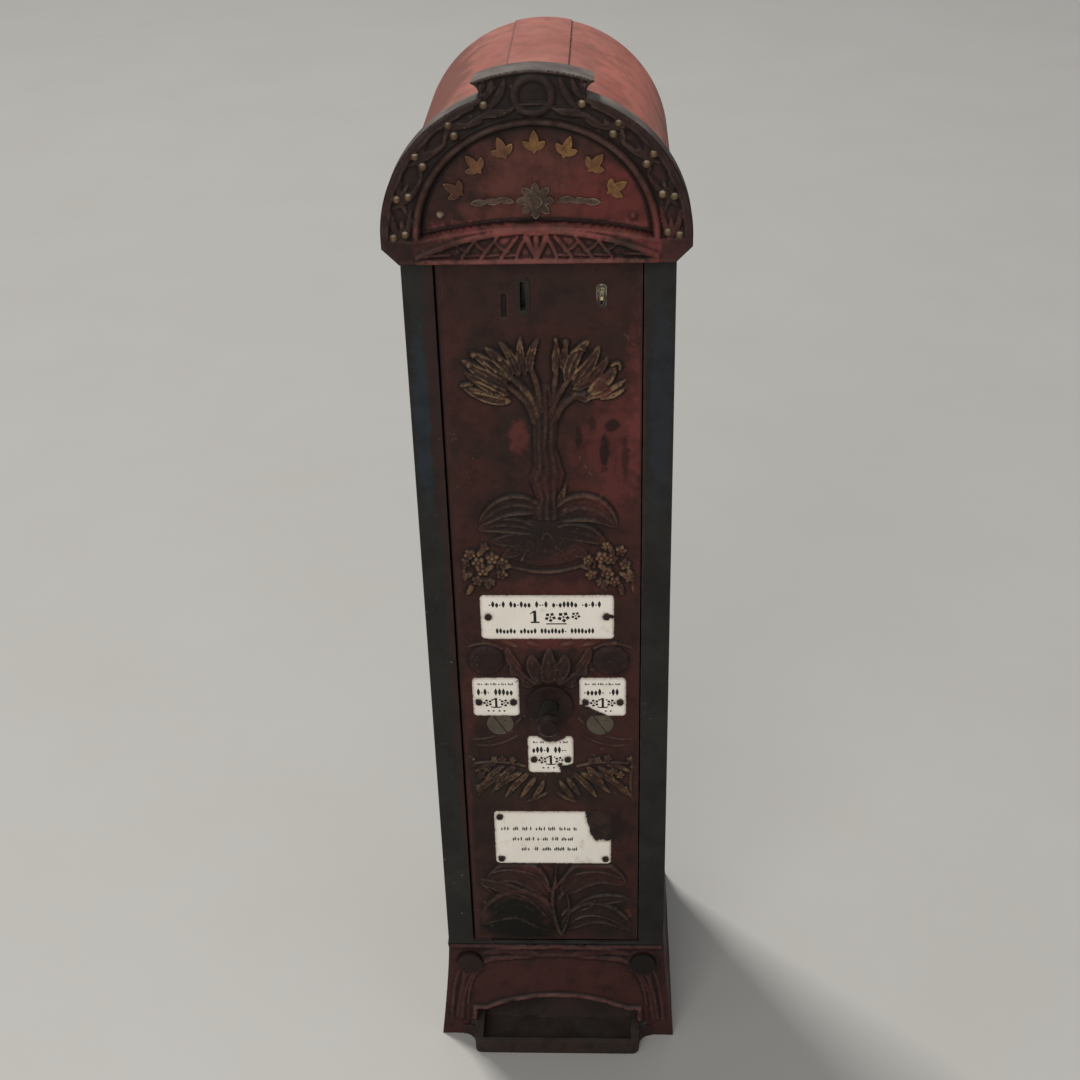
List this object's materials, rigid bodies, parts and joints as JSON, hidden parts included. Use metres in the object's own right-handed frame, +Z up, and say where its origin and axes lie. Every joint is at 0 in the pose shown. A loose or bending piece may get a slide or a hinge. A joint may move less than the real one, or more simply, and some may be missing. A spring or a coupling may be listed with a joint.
{
  "type": "coin-operated chocolate vending machine",
  "caption": "Tall antique cast-iron vending machine with a barrel roof, relief-cast door, enamel plates, push button and delivery tray.",
  "frame": {"origin": "middle of the case's footprint, on the floor", "axes": "+Z up, the front faces -Y, +X to the right as seen from the front"},
  "size_m": [0.265, 0.301, 1.101],
  "materials": {
    "red_iron": "painted dark red over cast iron, worn brown and black",
    "dark_iron": "blackened, bare iron",
    "tray_iron": "dark green black paint, worn smooth",
    "frame_paint": "aged green black enamel paint",
    "case_paint": "aged green black paint on sheet steel",
    "roof_paint": "salmon pink primer, chalky",
    "gilt": "gold bronze paint, worn",
    "rosette_metal": "silver bronze paint, tarnished",
    "plain_steel": "rolled steel, oiled and dull",
    "bright_steel": "turned steel",
    "tin_plate": "tinned sheet, dulled",
    "packet_paper": "plain wrapped packets",
    "worn_brass": "worn brass",
    "enamel": "white vitreous enamel on steel, chipped",
    "black_steel": "black screw heads",
    "grey_brass": "grey tarnished brass",
    "button_iron": "dark handled iron"
  },
  "bodies": {
    "case": {"foot_casting": "red_iron", "foot_bosses": "dark_iron", "tray": "tray_iron", "floor_plate": "plain_steel", "front_frame": "frame_paint", "left_wall": "case_paint", "right_wall": "case_paint", "back_plate": "case_paint", "corner_angles": "plain_steel", "roof_hood": "roof_paint", "roof_ridge": "roof_paint", "pediment": "red_iron", "pediment_beads": "gilt", "gilt_leaves": "gilt", "rosette": "rosette_metal", "pediment_bolts": "plain_steel", "hinge_plates": "plain_steel", "hinge_pins": "bright_steel", "lock_keeper": "plain_steel", "rocker_bearings": "plain_steel", "slide_guides": "plain_steel", "packet_shelf": "plain_steel", "shelf_ledges": "plain_steel", "left_column": "tin_plate", "middle_column": "tin_plate", "right_column": "tin_plate", "left_packets": "packet_paper", "middle_packets": "packet_paper", "right_packets": "packet_paper", "packet_weights": "dark_iron", "delivery_chute": "tin_plate"},
    "door": {"door_panel": "red_iron", "coin_slot_rim": "dark_iron", "keyhole_rim": "worn_brass", "top_plate": "enamel", "left_plate": "enamel", "right_plate": "enamel", "middle_plate": "enamel", "low_plate": "enamel", "plate_screws": "black_steel", "clamp_screws": "grey_brass", "clamp_nuts": "plain_steel", "mechanism_plate": "plain_steel", "button_boss": "red_iron", "coin_chute": "tin_plate", "coin_box": "case_paint", "lock_case": "worn_brass"},
    "lock": {"lock_cam": "worn_brass"},
    "button": {"push_button": "button_iron", "button_stem": "button_iron", "stem_collar": "bright_steel", "return_spring": "bright_steel"},
    "rocker": {"rocker_shaft": "bright_steel", "rocker_arms": "plain_steel"},
    "ejector": {"ejector_slide": "plain_steel", "bottom_packets": "packet_paper"}
  },
  "joints": [
    {"name": "door_swing", "type": "hinge", "parent": "case", "child": "door", "pos_m": [-0.0863, -0.1255, 0.5], "axis": [0, 0, -1], "range_deg": [0, 95]},
    {"name": "lock_turn", "type": "hinge", "parent": "door", "child": "lock", "pos_m": [0.055, -0.113, 0.905], "axis": [0, -1, 0], "range_deg": [0, 90]},
    {"name": "button_press", "type": "slide", "parent": "door", "child": "button", "axis": [0, 1, 0], "range_m": [0, 0.018], "stiffness_N_per_m": 300, "springref_m": -0.01, "deforming": ["return_spring"]},
    {"name": "rocker_turn", "type": "hinge", "parent": "case", "child": "rocker", "pos_m": [0, -0.054, 0.42541], "axis": [-1, 0, 0], "range_deg": [0, 30]},
    {"name": "ejector_slide", "type": "slide", "parent": "case", "child": "ejector", "axis": [0, -1, 0], "range_m": [0, 0.04762]}
  ],
  "couplings": [
    {"joint": "rocker_turn", "follows": "button_press", "rad_per_m": 29.089},
    {"joint": "ejector_slide", "follows": "button_press", "ratio": 2.6457}
  ]
}
